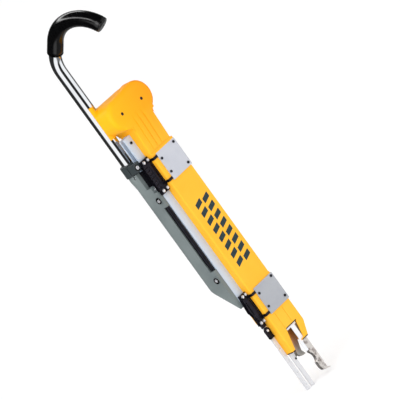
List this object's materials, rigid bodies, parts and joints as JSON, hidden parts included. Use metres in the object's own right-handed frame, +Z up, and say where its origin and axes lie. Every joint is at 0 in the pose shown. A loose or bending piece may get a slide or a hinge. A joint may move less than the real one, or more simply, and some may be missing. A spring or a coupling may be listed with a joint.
{
  "type": "rebar tying tool",
  "caption": "Stand-up rebar tying tool: cane-shaped handle on a sliding carriage, yellow clip-magazine housing, rail, twister, tie jaw and hook jaw at the foot.",
  "frame": {"origin": "39 mm in from the housing's left side, midway between its front and back, at the level of the ends of the feet", "axes": "+X to the right of the housing's front, +Y to the back, +Z up along the rail"},
  "size_m": [0.1505, 0.2171, 1.0107],
  "materials": {
    "grip_rubber": "glossy black moulded rubber",
    "chrome_tube": "bright chrome plate",
    "dark_clamp": "dark grey satin paint",
    "grey_casting": "grey satin cast metal",
    "bright_steel": "zinc-plated steel",
    "black_steel": "black oxide",
    "bronze": "sintered bronze",
    "roller_nylon": "black nylon",
    "yellow_shell": "satin orange-yellow moulded plastic",
    "bush_nylon": "natural nylon",
    "rail_aluminium": "bright anodised",
    "black_bracket": "gloss black paint",
    "clamp_plate": "satin anodised sheet",
    "forged_steel": "bare forged steel",
    "jaw_steel": "oiled dark steel",
    "feeder_white": "bright plated",
    "follower_plastic": "moulded plastic"
  },
  "bodies": {
    "handle_frame": {"grip_sleeve": "grip_rubber", "grip_end_plug": "grip_rubber", "handle_tube": "chrome_tube", "tube_clamp": "dark_clamp", "tube_clamp_bolt": "bright_steel", "carriage_casting": "grey_casting", "roller_bolts": "bright_steel", "spring_rod": "black_steel", "spring_sleeve": "black_steel", "return_spring": "black_steel", "drive_arm": "bright_steel", "drive_arm_screws": "bright_steel", "drive_nut": "bronze"},
    "housing": {"head_front_shell": "yellow_shell", "head_back_shell": "yellow_shell", "main_front_cover": "yellow_shell", "main_back_cover": "yellow_shell", "nose_front_shell": "yellow_shell", "nose_back_shell": "yellow_shell", "tube_bush": "bush_nylon", "guide_rail": "rail_aluminium", "rail_stop_screw": "black_steel", "foot_strip": "rail_aluminium", "foot_strip_screws": "bright_steel", "upper_bracket": "black_bracket", "lower_bracket": "black_bracket", "bracket_bolts": "bright_steel", "bracket_washers": "black_bracket", "upper_clamp_plate": "clamp_plate", "lower_clamp_plate": "clamp_plate", "clamp_plate_screws": "black_steel", "head_screws": "black_steel", "magazine_channel": "bright_steel", "hook_jaw": "forged_steel", "hook_jaw_pins": "bright_steel", "inner_blade": "rail_aluminium", "blade_screw": "black_steel", "spring_seat": "black_steel", "drum_axle": "bright_steel", "spindle_bearing_upper": "bronze", "spindle_bearing_lower": "bronze", "jaw_pin": "bright_steel", "wire_clips": "bright_steel", "follower_spring": "bright_steel", "latch_rivet": "bright_steel"},
    "guide_roller_upper": {"guide_roller_upper": "roller_nylon"},
    "guide_roller_lower": {"guide_roller_lower": "roller_nylon"},
    "spring_drum": {"spring_drum": "dark_clamp"},
    "magazine_follower": {"magazine_follower": "follower_plastic"},
    "twister": {"twister_spindle": "bright_steel", "twister_hook": "jaw_steel"},
    "tie_jaw": {"tie_jaw": "jaw_steel"},
    "clip_feeder": {"clip_feeder": "feeder_white"},
    "latch_lever": {"latch_lever": "black_bracket"}
  },
  "joints": [
    {"name": "housing_slide", "type": "slide", "parent": "handle_frame", "child": "housing", "axis": [0, 0, 1], "range_m": [0, 0.07], "stiffness_N_per_m": 350, "springref_m": -0.06, "deforming": ["return_spring"]},
    {"name": "upper_roller_spin", "type": "hinge", "parent": "handle_frame", "child": "guide_roller_upper", "pos_m": [-0.055, 0.004, 0.542], "axis": [1, 0, 0], "range_deg": [-625, 0]},
    {"name": "lower_roller_spin", "type": "hinge", "parent": "handle_frame", "child": "guide_roller_lower", "pos_m": [-0.055, 0.004, 0.322], "axis": [1, 0, 0], "range_deg": [0, 625]},
    {"name": "twister_spin", "type": "hinge", "parent": "housing", "child": "twister", "pos_m": [-0.012, 0.0035, 0.2], "axis": [0, 0, 1], "range_deg": [0, 870]},
    {"name": "jaw_swing", "type": "hinge", "parent": "housing", "child": "tie_jaw", "pos_m": [0.006, -0.0059, 0.151], "axis": [0, -1, 0], "range_deg": [0, 16.5]},
    {"name": "feeder_slide", "type": "slide", "parent": "housing", "child": "clip_feeder", "axis": [0, 0, -1], "range_m": [0, 0.0205]},
    {"name": "follower_slide", "type": "slide", "parent": "housing", "child": "magazine_follower", "axis": [0, 0, 1], "range_m": [0, 0.2], "stiffness_N_per_m": 15, "springref_m": -0.3, "deforming": ["follower_spring"]},
    {"name": "drum_spin", "type": "hinge", "parent": "housing", "child": "spring_drum", "pos_m": [0.03, 0, 0.746], "axis": [0, 1, 0], "range_deg": [0, 640]},
    {"name": "latch_swing", "type": "hinge", "parent": "housing", "child": "latch_lever", "pos_m": [-0.0495, -0.007, 0.163], "axis": [0, 1, 0], "range_deg": [0, 75]}
  ],
  "couplings": [
    {"joint": "upper_roller_spin", "follows": "housing_slide", "rad_per_m": -155.28},
    {"joint": "lower_roller_spin", "follows": "housing_slide", "rad_per_m": 155.28},
    {"joint": "twister_spin", "follows": "housing_slide", "rad_per_m": 216.66},
    {"joint": "jaw_swing", "follows": "housing_slide", "rad_per_m": 4.114},
    {"joint": "feeder_slide", "follows": "housing_slide", "ratio": 0.2857},
    {"joint": "drum_spin", "follows": "follower_slide", "rad_per_m": 55}
  ]
}
